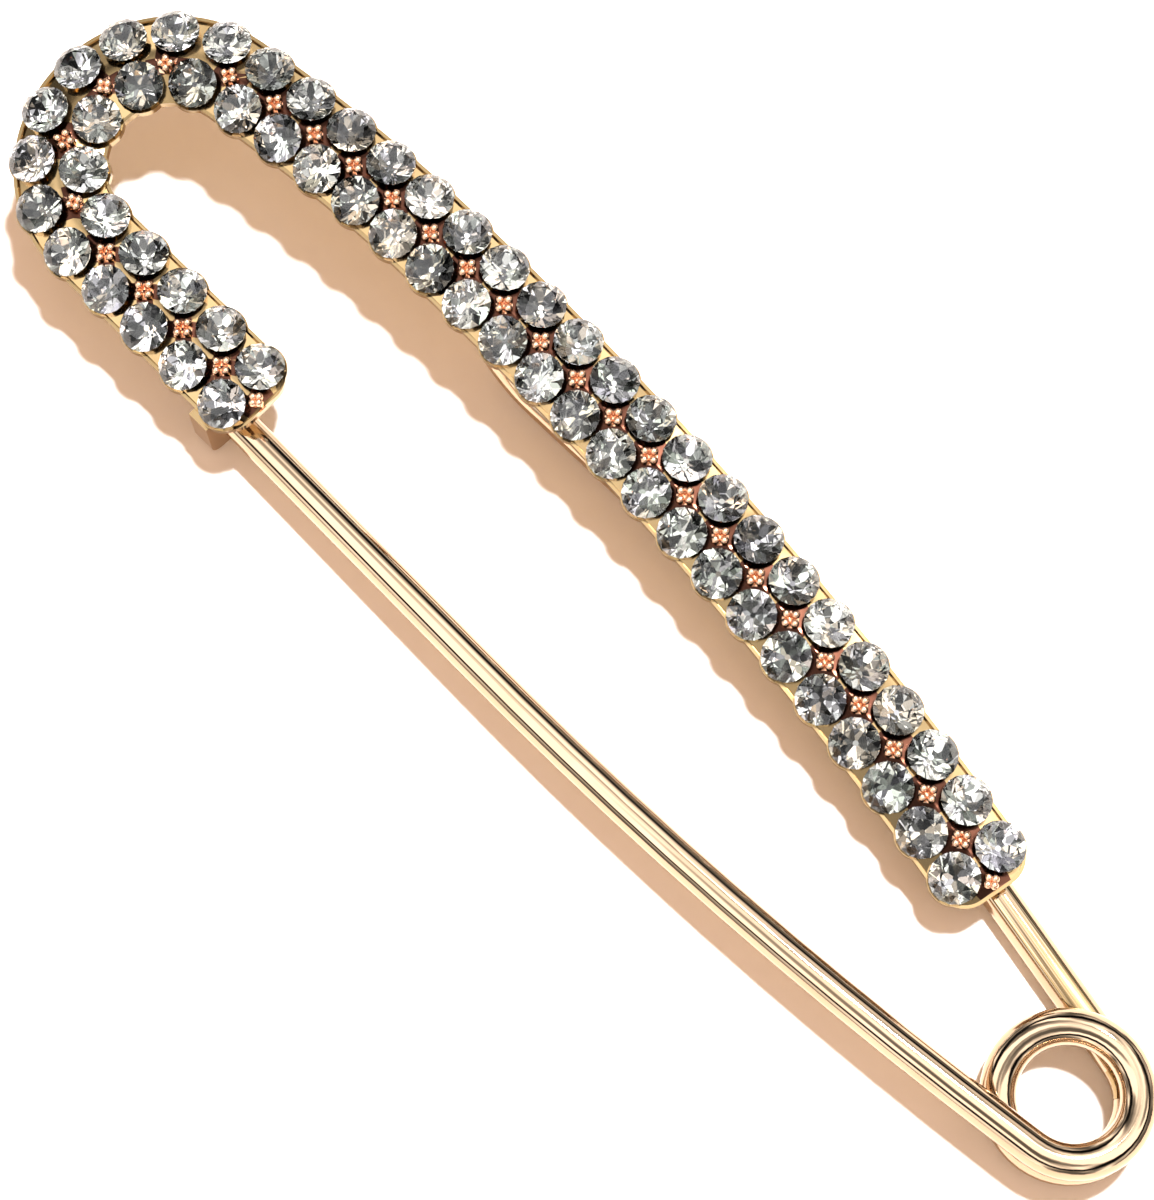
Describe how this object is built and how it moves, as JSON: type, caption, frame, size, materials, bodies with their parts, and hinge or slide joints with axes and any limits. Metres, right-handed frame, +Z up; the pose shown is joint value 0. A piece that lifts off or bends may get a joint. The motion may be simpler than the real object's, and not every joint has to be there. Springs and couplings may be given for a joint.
{
  "type": "safety pin brooch",
  "caption": "Large kilt-style safety pin brooch: hook-shaped metal tray set with two rows of clear round stones over a coiled wire pin and catch.",
  "frame": {"origin": "bottom centre of the bounding box, on the surface that the brooch lies on", "axes": "+X along the pin from the hook end towards the coil, +Y from the pin towards the long arm, +Z up away from the back"},
  "size_m": [0.083, 0.019, 0.0078],
  "materials": {
    "tray_metal": "polished rose gold plate",
    "wire_metal": "polished rose gold plate",
    "clear_stone": "clear faceted crystal, foil-backed"
  },
  "bodies": {
    "frame": {"stone_tray": "tray_metal", "outer_row_stones": "clear_stone", "inner_row_stones": "clear_stone"},
    "pin": {"pin_wire": "wire_metal"}
  },
  "joints": [
    {"name": "pin_release", "type": "hinge", "parent": "frame", "child": "pin", "pos_m": [0.03435, -0.0029, 0.00195], "axis": [0, -0.5736, -0.8192], "range_deg": [0, 12]}
  ]
}
